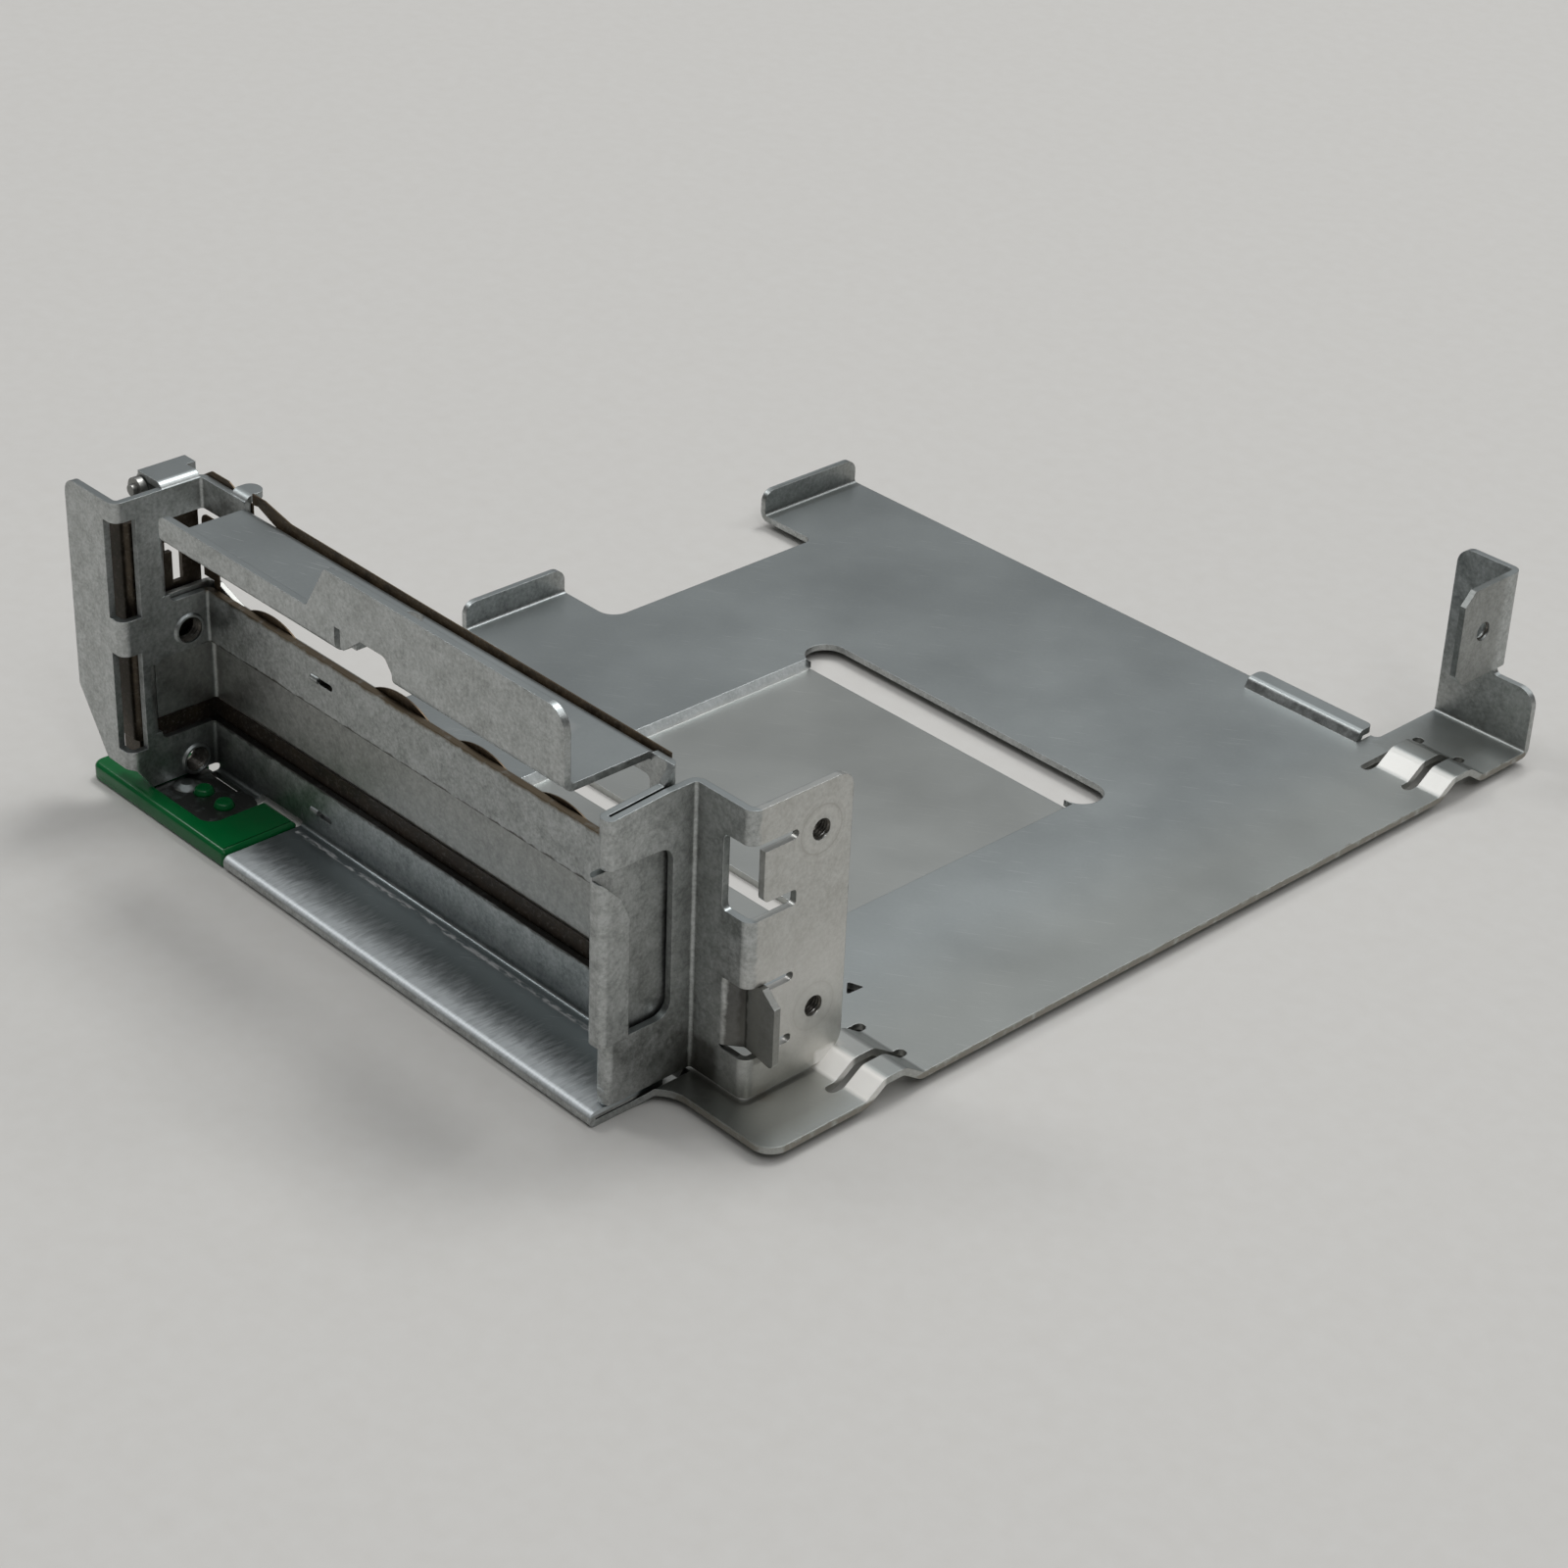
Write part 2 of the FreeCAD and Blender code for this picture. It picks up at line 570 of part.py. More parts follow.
# Peg holes, dome and slot in the metal tongue
for x, y in pegs:
    cage = cage.cut(rod("z", x, y, 0.5, peg_dia / 2 + fit_gap, 3))
cage = cage.cut(box(pad_notch[0] + 0.5, pad_notch[1] - 0.4, 12.1, 13.1, 0, plate_top + 0.3))
dome = Part.makeCone(2.0, 0.9, 0.55, V(dome_at[0], dome_at[1], plate_top))
dome = dome.cut(rod("z", pegs[0][0], pegs[0][1], 0, peg_dia / 2 + fit_gap, 6))
cage = cage.fuse(dome).removeSplitter()
save("cage_sheet", cage)

# Contact plate behind the back wall, with rounded contact lobes over the middle bar
hook_floor = hook_top - sheet - 0.2
blank_high = blank_low + blank_w
bar_top = window_low + slot_pitch
contact_span = (contact_y, contact_y + contact_t)
contact = outline("xz", [
    (0.2, 6.0, 0), (contact_right, 6.0, 0), (contact_right, rail_top + 0.2, 0), (48.0, rail_top + 0.5, 0),
    (18.6, rail_top + 0.8, 2.0), (12.9, contact_top + 0.2, 1.5), (hook_x[1] + 0.3, contact_top + 0.2, 0),
    (hook_x[1] + 0.3, hook_floor, 0), (hook_x[0] - 0.3, hook_floor, 0), (hook_x[0] - 0.3, 47.2, 0),
    (4.8, contact_top, 0.8), (0.8, contact_top, 0.8), (-1.8, 46.2, 0.5), (-1.8, 44.6, 0), (0.2, 44.6, 0)],
    *contact_span)
contact = contact.cut(box(
    0, window_right + 0.4, contact_y - 1, contact_y + 1, bar_top - 0.6, bar_top + window_h + 0.4))
contact = contact.cut(box(
    0, window_right + 0.4, contact_y - 1, contact_y + 1, window_low - 0.6, window_low + window_h - 0.5))
contact = contact.cut(outline("xz", [
    (hook_x[1] + 0.3, 44.9, 0), (hook_x[1] + 0.3, hook_floor - 0.1, 0), (11.3, hook_floor + 0.1, 0),
    (15.8, 44.9, 0)], contact_y - 1, contact_y + 1))
side_strip = outline("xz", [
    (-2.2, blank_high + 0.4, 0), (0.1, blank_high + 0.4, 0), (0.1, bar_top - 3.0, 0), (1.3, bar_top - 3.0, 0),
    (1.3, 40.6, 0.8), (-2.2, 40.6, 1.2)], *contact_span)
contact = contact.fuse(side_strip)
for x, lobe_top in lobes:
    lobe = rod("y", x, contact_y, lobe_top - lobe_r, lobe_r, contact_t)
    contact = contact.fuse(lobe.common(box(
        x - lobe_r, x + lobe_r, contact_y - 1, contact_y + 1, bar_top - 1.6, lobe_top + 1)))
save("contact_plate", contact.removeSplitter())

# Slot blank in the lower slot, its top lowered beyond the corner
tab_x = -sheet - fit_gap
blank = bent("xy", [(94.8, blank_y), (tab_x, blank_y), (tab_x, 5.6)],
             blank_low, blank_high, -1, thick=blank_t, radii=[0, 0.6, 0])
screw_z = screw_low + slot_pitch
blank = blank.cut(rounded_slot("yz", 2.0, screw_y + 3.4, screw_z - 3.4, screw_z + 3.4, -4, 0.0, 3.3))
blank = blank.cut(outline("xz", [
    (0.5, blank_high, 0), (5.5, bar_top - 1.0, 0), (97.0, bar_top - 1.0, 0),
    (97.0, blank_high + 1, 0), (0.5, blank_high + 1, 0)], 10, 20))
blank_shoulder = 87.0
for edge, inward in ((bar_top - 1.0, -1), (blank_low, 1)):
    blank = blank.cut(outline("xz", [
        (blank_shoulder, edge - inward, 0), (blank_shoulder, edge, 0),
        (blank_shoulder + 2.8, edge + inward * 3.8, 1.0), (97.0, edge + inward * 3.8, 0),
        (97.0, edge - inward, 0)], 10, 20))
save("slot_blank", blank)

# Hinged latch behind wall A
latch_back = latch_face - latch_t
latch = bent("xy", [
    (latch_back - 3.4, latch_y[0]), (latch_face, latch_y[0]), (latch_face, latch_y[1])],
    latch_z[0], latch_z[1], 1, thick=latch_t, radii=[0, 0.5, 0])
eye_y = (roof_front + sheet + fit_gap, roof_rear - sheet - latch_t - fit_gap)
latch_parts = []
for y in eye_y:
    eye = rod("y", pin_x, y, pin_z, eye_r, latch_t)
    arm = outline("xz", [
        (pin_x - eye_r, pin_z, 0), (pin_x - eye_r, pin_z - 3.0, 0), (latch_back - 0.4, pin_z - 6.5, 0),
        (latch_face, pin_z - 6.5, 0), (latch_face, latch_z[1] - 0.4, 0),
        (pin_x + eye_r, pin_z, 0)], y, y + latch_t)
    latch_parts += [eye, arm]
latch = join(latch, latch_parts)
latch = latch.cut(rod("y", pin_x, roof_front, pin_z, pin_dia / 2 + pin_gap, 12))
latch = latch.cut(outline("yz", [
    (9.0, 36.2, 0), (10.1, 36.2, 0), (10.1, 31.5, 0), (11.7, 31.5, 0), (11.7, 36.2, 0),
    (9.0, 37.9, 0)], latch_back - past, latch_face + past))
save("bracket_latch", latch)

# Hinge pin with its collar and nose
head_y = roof_front - 1.2
pin = rod("y", pin_x, head_y, pin_z, pin_dia / 2, roof_rear - head_y + 0.5)
pin = join(pin, [
    rod("y", pin_x, head_y, pin_z, 1.6, 1.2 - fit_gap),
    rod("y", pin_x, head_y - 0.7, pin_z, 0.8, 0.8)])
save("hinge_pin", pin)

# Green touch pad with its recess and two staked pegs
pad = outline("xy", [
    (pad_left, pad_front, 1.5), (pad_right, pad_front, 0.6), (pad_right, pad_rear, 0.6),
    (pad_left, pad_rear, 1.5)], pad_low, pad_top)
top_edges = [e for e in pad.Edges if e.BoundBox.ZMin > pad_top - 1e-4]
pad = pad.makeChamfer(pad_bead, top_edges)
pad = pad.cut(outline("xy", [
    (tongue_left - fit_gap, tongue_front - fit_gap, 0.8),
    (tongue_right + fit_gap, tongue_front - fit_gap, 2.2),
    (tongue_right + fit_gap, pad_rear + 1, 0), (tongue_left - fit_gap, pad_rear + 1, 0)],
    plate_low - 0.05, pad_top + 1))
pad = pad.cut(box(pad_notch[0], pad_notch[1], pad_rear - 1.5, pad_rear + 1, -1, pad_top + 1))
pad_pegs = []
for x, y in pegs:
    pad_pegs.append(rod("z", x, y, plate_low - 0.5, peg_dia / 2, plate_top - plate_low + 0.6))
    pad_pegs.append(Part.makeCone(peg_dia / 2 + 0.2, peg_dia / 2 - 0.15, 0.8, V(x, y, plate_top + 0.03)))
pad = join(pad, pad_pegs)
save("touch_pad", pad)
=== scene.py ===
# %% [markdown]
# Riser cage bracket, dressed for a studio picture.
#
# The real object is one sheet of bright galvanised steel, cut and folded into a slot
# frame, a rail and a wide plate. A few small pieces sit on it: a thin contact plate, a
# slot blank, a hinged latch with its pin, and a green plastic touch pad. Their shapes
# come ready made from the frame, so this lesson is mostly about finishes, light and
# camera. Little is modelled here: the threads and collars of the holes, two thin strips
# that show through the openings, and the pad's soft edges.

# %% Load the fixed frame
import bmesh
import bpy
import math
from mathutils import Matrix, Vector


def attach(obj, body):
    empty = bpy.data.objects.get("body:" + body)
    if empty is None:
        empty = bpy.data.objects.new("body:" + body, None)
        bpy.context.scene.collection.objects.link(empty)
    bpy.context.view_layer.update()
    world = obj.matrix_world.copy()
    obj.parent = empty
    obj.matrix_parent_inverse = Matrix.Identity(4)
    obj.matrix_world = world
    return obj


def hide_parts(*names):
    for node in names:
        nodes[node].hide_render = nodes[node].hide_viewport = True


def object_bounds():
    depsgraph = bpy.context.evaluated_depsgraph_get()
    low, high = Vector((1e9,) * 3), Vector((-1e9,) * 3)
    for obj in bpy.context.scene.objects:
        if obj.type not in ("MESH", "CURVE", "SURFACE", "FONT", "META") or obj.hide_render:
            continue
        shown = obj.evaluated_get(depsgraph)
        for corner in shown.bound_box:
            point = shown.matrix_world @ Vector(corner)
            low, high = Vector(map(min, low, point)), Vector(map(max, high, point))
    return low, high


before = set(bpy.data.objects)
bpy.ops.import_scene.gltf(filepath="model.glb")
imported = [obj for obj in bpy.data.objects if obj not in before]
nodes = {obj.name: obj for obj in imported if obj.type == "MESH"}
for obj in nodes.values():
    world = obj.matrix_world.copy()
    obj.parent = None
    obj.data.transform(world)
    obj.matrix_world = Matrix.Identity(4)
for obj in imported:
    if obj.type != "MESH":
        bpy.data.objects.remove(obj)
MM = 0.001


def corners(bounds):
    """Turn a box into plain lists of numbers."""
    return [[float(v) for v in corner] for corner in bounds]


cad_bounds = corners(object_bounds())
print("pieces:", sorted(nodes))
print("box in mm:", [[round(v / MM, 1) for v in corner] for corner in cad_bounds])

# %% [markdown]
# Marks on the metal are placed in millimetres from the slot frame's left front corner,
# where the left flange meets the side wall. The touch pad stands out 12 mm to the left
# of it, and the flange's face is the front of the whole part, so the corner is found
# from the box.

# %% The corner that marks are measured from
PAD_OVERHANG = 12.0
corner = Vector((cad_bounds[0][0] + PAD_OVERHANG * MM, cad_bounds[0][1], 0.0))


def spot(x, y, z):
    """A place in mm from the corner, as metres in the frame."""
    return corner + Vector((x, y, z)) * MM


print("corner at", [round(v / MM, 2) for v in corner], "mm")

# %% [markdown]
# Materials are node trees. Every tree below is grown with one small helper, which adds
# a node, sets its options and links or fills its sockets. Colours are written as sRGB
# hex values, as they would be picked from a sample, and one function makes them linear.
# Pattern sizes are real sizes in millimetres, turned into a texture scale.

# %% The helpers for materials


def colour(hex_value):
    """An sRGB hex colour as the linear values that shaders use."""
    parts = [int(hex_value[i:i + 2], 16) / 255 for i in (1, 3, 5)]
    return [p / 12.92 if p < 0.04045 else ((p + 0.055) / 1.055) ** 2.4 for p in parts] + [1.0]


def per_mm(size):
    """The texture scale at which one feature is this many millimetres wide."""
    return 1 / (size * MM)


def add(tree, kind, sockets=None, **options):
    """Add a node, set its options, then link or fill the named sockets."""
    node = tree.nodes.new("ShaderNode" + kind)
    for key, value in options.items():
        setattr(node, key, value)
    for key, value in (sockets or {}).items():
        if isinstance(value, bpy.types.NodeSocket):
            tree.links.new(value, node.inputs[key])
        else:
            node.inputs[key].default_value = value
    return node


def new_material(name):
    """An empty material and its Principled shader, wired to the output."""
    material = bpy.data.materials.new(name)
    material.use_nodes = True
    tree = material.node_tree
    tree.nodes.clear()
    shader = add(tree, "BsdfPrincipled")
    add(tree, "OutputMaterial", {"Surface": shader.outputs["BSDF"]})
    return material, tree, shader


def wire(tree, shader, **sockets):
    """Link pattern outputs to the shader; an underscore stands for a space."""
    for key, value in sockets.items():
        tree.links.new(value, shader.inputs[key.replace("_", " ")])


def dress(node_name, material):
    """Give a carried-over piece its finish."""
    piece = nodes[node_name]
    piece.data.materials.clear()
    piece.data.materials.append(material)
    print(node_name, "is", material.name)


print("middle grey as a shader sees it:", [round(v, 3) for v in colour("#808080")[:3]])

# %% [markdown]
# Wear, stains and rub marks each cover a small place. A patch is a soft-edged box: it is
# 1 inside, and fades to 0 over a few tenths of a millimetre or more. A little noise on
# the coordinates before the patch is measured makes its border ragged, as a stain's is.

# %% Patches and ragged coordinates


def ragged(tree, place, size, amount):
    """Coordinates shaken by a noise of the given size, by up to about `amount` mm."""
    noise = add(tree, "TexNoise", {
        "Vector": place, "Scale": per_mm(size), "Detail": 4.0}).outputs["Color"]
    shift = add(tree, "VectorMath", {
        0: noise, 1: (0.5, 0.5, 0.5)}, operation="SUBTRACT").outputs["Vector"]
    shift = add(tree, "VectorMath", {
        0: shift, "Scale": 4 * amount * MM}, operation="SCALE").outputs["Vector"]
    return add(tree, "VectorMath", {0: place, 1: shift}, operation="ADD").outputs["Vector"]


def patch(tree, place, centre, half, fade, strength=1.0):
    """A soft box: centre, half size and fade in mm, all from the corner."""
    away = add(tree, "VectorMath", {
        0: place, 1: spot(*centre)}, operation="SUBTRACT").outputs["Vector"]
    away = add(tree, "VectorMath", {0: away}, operation="ABSOLUTE").outputs["Vector"]
    away = add(tree, "VectorMath", {
        0: away, 1: Vector(half) * MM}, operation="SUBTRACT").outputs["Vector"]
    away = add(tree, "VectorMath", {
        0: away, 1: (0, 0, 0)}, operation="MAXIMUM").outputs["Vector"]
    gap = add(tree, "VectorMath", {0: away}, operation="LENGTH").outputs["Value"]
    return add(tree, "MapRange", {
        "Value": gap, "From Max": fade * MM, "To Min": strength, "To Max": 0.0}).outputs["Result"]


MIDDLE_BAR = (45.0, 14.4, 30.3)
print("the middle bar's patch lies at", [round(v, 4) for v in spot(*MIDDLE_BAR)], "m")

# %% [markdown]
# Galvanised sheet is steel with a thin coat of zinc. On the wide plate the zinc is
# smooth, cool and faintly cloudy. On the folded parts it has been worked and handled: it
# is warmer and rougher, with grains of light and dark zinc about half a millimetre wide.
# The two looks are blended by how far the metal faces upwards. The grains are drawn a
# little coarser than the real ones, so that they show. In its nooks, within a few
# millimetres, the metal is painted darker: this is painted shade.

# %% The zinc's own pattern, with painted shade in its nooks
CLOUD, CLUMP, GRAIN = 30.0, 2.2, 0.55
GRAIN_SHADES = ((0.48, 0.34, "#77787A"), (0.52, 0.68, "#DADCDC"))
NOOK, RELIEF = 9.0, 0.02


def nook_shade(tree, tone):
    """Painted shade: darken the metal where its own shape hems it in."""
    shelter = add(tree, "AmbientOcclusion", {
        "Distance": NOOK * MM}, samples=4, only_local=True).outputs["AO"]
    nook_shade_amount = add(tree, "MapRange", {
        "Value": shelter, "From Min": 0.2, "From Max": 0.75,
        "To Min": 0.75, "To Max": 0.0}).outputs["Result"]
    return add(tree, "Mix", {
        "Factor": nook_shade_amount, "A": tone, "B": colour("#4A4845")}, data_type="RGBA").outputs["Result"]


def zinc(tree, place, light, dark, freckles):
    """Colour and roughness of a zinc coat; freckles sets how strongly the grains show."""
    facing = add(tree, "NewGeometry").outputs["True Normal"]
    up = add(tree, "SeparateXYZ", {"Vector": facing}).outputs["Z"]
    flat = add(tree, "MapRange", {"Value": up, "From Min": 0.5, "From Max": 0.9}).outputs["Result"]
    cloud = add(tree, "TexNoise", {
        "Vector": place, "Scale": per_mm(CLOUD), "Detail": 4.0, "Roughness": 0.55}).outputs["Fac"]
    grain = add(tree, "TexNoise", {
        "Vector": place, "Scale": per_mm(GRAIN), "Detail": 3.0, "Roughness": 0.75}).outputs["Fac"]
    clump = add(tree, "TexNoise", {
        "Vector": place, "Scale": per_mm(CLUMP), "Detail": 5.0, "Roughness": 0.7}).outputs["Fac"]
    cool = add(tree, "Mix", {
        "Factor": cloud, "A": colour(dark[0]), "B": colour(light[0])}, data_type="RGBA").outputs["Result"]
    mottle = add(tree, "MapRange", {"Value": clump, "From Min": 0.32, "From Max": 0.68}).outputs["Result"]
    warm = add(tree, "Mix", {
        "Factor": mottle, "A": colour(dark[1]), "B": colour(light[1])}, data_type="RGBA").outputs["Result"]
    tone = add(tree, "Mix", {"Factor": flat, "A": warm, "B": cool}, data_type="RGBA").outputs["Result"]
    calm = add(tree, "MapRange", {"Value": flat, "To Min": 1.0, "To Max": 0.14}).outputs["Result"]
    for low, high, shade in GRAIN_SHADES:
        speck = add(tree, "MapRange", {
            "Value": grain, "From Min": low, "From Max": high, "To Max": freckles}).outputs["Result"]
        speck = add(tree, "Math", {0: speck, 1: calm}, operation="MULTIPLY").outputs["Value"]
        tone = add(tree, "Mix", {
            "Factor": speck, "A": tone, "B": colour(shade)}, data_type="RGBA").outputs["Result"]
    # Painted shade in the nooks, from ambient occlusion.
    tone = nook_shade(tree, tone)
    rough = add(tree, "MapRange", {
        "Value": clump, "From Min": 0.3, "From Max": 0.7, "To Min": 0.34, "To Max": 0.5}).outputs["Result"]
    smooth = add(tree, "MapRange", {
        "Value": cloud, "From Min": 0.3, "From Max": 0.7, "To Min": 0.33, "To Max": 0.4}).outputs["Result"]
    rough = add(tree, "Mix", {"Factor": flat, "A": rough, "B": smooth}).outputs["Result"]
    return tone, rough, grain


def relief(tree, height, depth, edge):
    """Normals with soft edges and a fine relief: its depth and the edge radius in mm."""
    rounded = add(tree, "Bevel", {"Radius": edge * MM}, samples=4).outputs["Normal"]
    return add(tree, "Bump", {
        "Height": height, "Strength": 0.25, "Distance": depth * MM, "Normal": rounded}).outputs["Normal"]


print("zinc clouds, clumps and grains in mm:", CLOUD, CLUMP, GRAIN)

# %% [markdown]
# The cage's stains and painted light come next. The shears tore the zinc at the cut edges,
# which have gone brown and dull: the edges of the plate and the top of the middle bar show
# it best. Oil and handling left brown lines along the fold on the right and across the near
# foot. Painted shade darkens a line under the middle bar, the foot of the back wall, the
# side wall's corner, the guide tab's root, the near foot and the corner by the tapped plate.
# Some parts are toned as a whole, because the picture shows them darker or lighter than
# plain zinc would be: the guide tab, the far ear and the far post are darkened as painted
# shade, and the tapped plate is lightened as painted light, most of all low down.

# %% Stains and painted light on the cage sheet
BROWN, DARK_BROWN, BRIGHT = "#6A5D4C", "#3E372E", "#D9DAD7"
# Each stain or patch of painted light has a name, its centre, half size and fade in mm, its
# strength and its colour.
STAINS = (
    ("middle bar's cut edge", MIDDLE_BAR, (46.0, 0.6, 0.25), 0.5, 0.9, "#67573F"),
    ("low bar's cut edge", (45.0, 14.4, 9.75), (46.0, 0.6, 0.12), 0.3, 0.75, DARK_BROWN),
    # Painted shade under the middle bar.
    ("painted shade under the middle bar", (45.0, 13.9, 22.2), (46.0, 1.2, 0.05), 0.25, 0.8, DARK_BROWN),
    # Painted shade along the foot of the back wall.
    ("painted shade at the back wall's foot", (45.0, 13.9, 3.0), (46.0, 1.0, 1.0), 2.0, 0.35, "#5C6264"),
    ("plate's right cut edge", (115.75, 85.0, 1.6), (0.14, 76.0, 0.4), 0.15, 0.75, BROWN),
    ("near foot's cut edge", (106.0, 12.0, 1.6), (9.0, 0.12, 0.4), 0.15, 0.7, BROWN),
    # Painted shade in the side wall's corner.
    ("painted shade in the side wall's corner", (-0.4, 13.6, 17.0), (0.6, 1.2, 14.0), 1.6, 0.35, "#5E5F5C"),
    # The tapped plate is lightened as a whole: painted light.
    ("tapped plate", (106.2, 25.0, 25.0), (0.5, 7.2, 21.0), 0.5, 0.4, "#D8D5CE"),
    # Painted light on the lower part of the tapped plate.
    ("tapped plate's lower part, painted light", (106.2, 25.0, 10.0), (0.5, 5.0, 7.0), 9.0, 0.4, "#E4E2DE"),
    ("guide tab in its own shade", (106.5, 18.3, 13.2), (3.5, 0.6, 5.6), 0.4, 0.6, "#57564F"),
    # Painted shade at the guide tab's root.
    ("painted shade at the guide tab's root", (103.2, 17.9, 13.2), (1.4, 1.3, 5.5), 0.3, 0.8, "#2E2C29"),
    # Painted shade on the near foot.
    ("near foot in painted shade", (103.0, 19.0, 2.2), (9.0, 7.0, 0.4), 3.0, 0.5, "#66645C"),
    ("tongue under the pegs", (5.7, 8.2, 1.7), (6.8, 4.6, 0.55), 0.15, 0.7, "#4B4843"),
    # The far ear and the far post are darkened as a whole: painted shade.
    ("far ear in painted shade", (-9.4, 137.0, 4.5), (0.8, 11.0, 3.0), 0.5, 0.4, "#6C6E6A"),
    ("far post in painted shade", (105.5, 152.0, 17.0), (5.0, 5.5, 14.0), 1.5, 0.45, "#6E6F69"),
    ("line along the fold", (95.0, 15.6, 20.0), (0.5, 0.3, 14.0), 0.6, 0.5, BROWN),
    ("line across the near foot", (103.0, 19.5, 2.2), (4.0, 0.25, 0.3), 1.2, 0.45, BROWN),
    # Painted shadow in the corner by the tapped plate.
    ("painted shadow in the corner by the tapped plate", (99.2, 16.4, 5.0), (1.6, 0.6, 2.4), 1.0, 0.6, DARK_BROWN),
    ("panel, drawn lighter", (56.45, 57.0, 0.6), (26.0, 42.0, 0.6), 0.5, 0.55, "#BCBDB8"),
    ("plate's warmer right side", (112.0, 85.0, 2.0), (4.0, 70.0, 0.5), 14.0, 0.35, "#B4B4AC"),
    ("smear on the rail", (78.0, 8.0, 46.0), (2.5, 1.6, 0.3), 2.0, 0.5, BRIGHT))
print(len(STAINS), "stains")

# %% [markdown]
# The ledge at the front was bent sharply into the hem. Along that bend the zinc has
# crazed into pale feathers, brightened further as a painted highlight, and at the back bend
# a line of bright dots is a painted glint. Both are thin streaks: a noise that is stretched
# one way, then cut to a strip of the ledge.

# %% Feathered zinc and painted highlights on the ledge
LEDGE, LEDGE_HALF = (58.0, 7.0, 2.2), (38.0, 6.6, 0.5)


def streaks(tree, place, turn, length, width, low, high, strength=1.0):
    """Thin streaks, turned about Z in degrees; length and width in mm."""
    lay = add(tree, "Mapping", {
        "Vector": place, "Rotation": (0, 0, math.radians(turn)),
        "Scale": (length * MM, width * MM, width * MM)}, vector_type="TEXTURE").outputs["Vector"]
    noise = add(tree, "TexNoise", {"Vector": lay, "Scale": 1.0, "Detail": 2.0}).outputs["Fac"]
    return add(tree, "MapRange", {
        "Value": noise, "From Min": low, "From Max": high, "To Max": strength}).outputs["Result"]


def ledge_frost_and_highlight(tree, place, tone, rough):
    """The ledge: dark and smooth behind, pale feathers and a painted highlight along its front bend."""
    on_ledge = patch(tree, place, LEDGE, LEDGE_HALF, 0.2)
    front = patch(tree, place, (58.0, 0.2, 2.2), (39.0, 2.6, 1.0), 7.5)
    feather = streaks(tree, place, 90, 2.2, 0.35, 0.25, 0.8, 0.45)
    frost_and_highlight = add(tree, "Math", {0: feather, 1: front}, operation="ADD").outputs["Value"]
    frost_and_highlight = add(tree, "MapRange", {
        "Value": frost_and_highlight, "From Min": 0.45, "From Max": 1.25, "To Max": 0.95}).outputs["Result"]
    frost_and_highlight = add(tree, "Math", {0: frost_and_highlight, 1: on_ledge}, operation="MULTIPLY").outputs["Value"]
    bend = patch(tree, place, (58.0, 12.3, 2.6), (37.0, 0.2, 0.4), 0.3)
    glint_dots = streaks(tree, place, 0, 1.4, 0.5, 0.42, 0.6, 0.85)
    glint_dots = add(tree, "Math", {0: glint_dots, 1: bend}, operation="MULTIPLY").outputs["Value"]
    # The pale feathers are real crazed zinc, brightened into a painted highlight; the white dots are
    # painted glints.
    layers = ((on_ledge, "#9AA3A6", 0.32), (frost_and_highlight, "#E2E7E9", 0.6), (glint_dots, "#FFFFFF", 0.7))
    for mask, shade, value in layers:
        tone = add(tree, "Mix", {
            "Factor": mask, "A": tone, "B": colour(shade)}, data_type="RGBA").outputs["Result"]
        rough = add(tree, "Mix", {"Factor": mask, "A": rough, "B": value}).outputs["Result"]
    return tone, rough


print("the ledge's patch measures", [round(2 * v, 1) for v in LEDGE_HALF], "mm")

# %% [markdown]
# Handling leaves bright marks too: a screw head has turned on the tapped plate and left
# rings round its two holes, and there are a few light scratches on the rail and the plate.
# The near slopes of the two arches are painted white, as a painted highlight.

# %% Painted highlights on the arches, rings and scratches


def arch_highlights(tree, place):
    """A painted highlight: how far the near slopes of the two arches are painted white."""
    near = patch(tree, place, (110.0, 29.7, 3.4), (5.5, 1.3, 1.0), 0.6)
    far = patch(tree, place, (110.0, 142.5, 3.4), (5.5, 1.3, 1.0), 0.6, 0.6)
    return add(tree, "Math", {0: near, 1: far}, operation="MAXIMUM").outputs["Value"]


TAPPED_FACE, TAPPED_Y, TAPPED_LOW, TAPPED_HIGH = 106.0, 27.4, 11.9, 37.1
# Each ring has a radius and width in mm, a strength and a colour.
RINGS = ((2.5, 0.5, 0.35, BRIGHT), (3.3, 0.2, 0.5, "#6F6B64"), (4.1, 0.3, 0.25, BRIGHT))


def rubbed_rings(tree, place, tone):
    """Rings that a screw head has rubbed round the two tapped holes."""
    for hole_z in (TAPPED_LOW, TAPPED_HIGH):
        centre = spot(TAPPED_FACE, TAPPED_Y, hole_z)
        away = add(tree, "VectorMath", {
            0: place, 1: centre}, operation="SUBTRACT").outputs["Vector"]
        away = add(tree, "VectorMath", {
            0: away, 1: (0, 1, 1)}, operation="MULTIPLY").outputs["Vector"]
        gap = add(tree, "VectorMath", {0: away}, operation="LENGTH").outputs["Value"]
        near = patch(tree, place, (TAPPED_FACE, TAPPED_Y, hole_z), (0.6, 5.0, 5.0), 0.2)
        for radius, width, strength, shade in RINGS:
            off = add(tree, "Math", {0: gap, 1: radius * MM}, operation="SUBTRACT").outputs["Value"]
            off = add(tree, "Math", {0: off}, operation="ABSOLUTE").outputs["Value"]
            ring = add(tree, "MapRange", {
                "Value": off, "From Max": width * MM, "To Min": strength, "To Max": 0.0}).outputs["Result"]
            ring = add(tree, "Math", {0: ring, 1: near}, operation="MULTIPLY").outputs["Value"]
            tone = add(tree, "Mix", {
                "Factor": ring, "A": tone, "B": colour(shade)}, data_type="RGBA").outputs["Result"]
    return tone


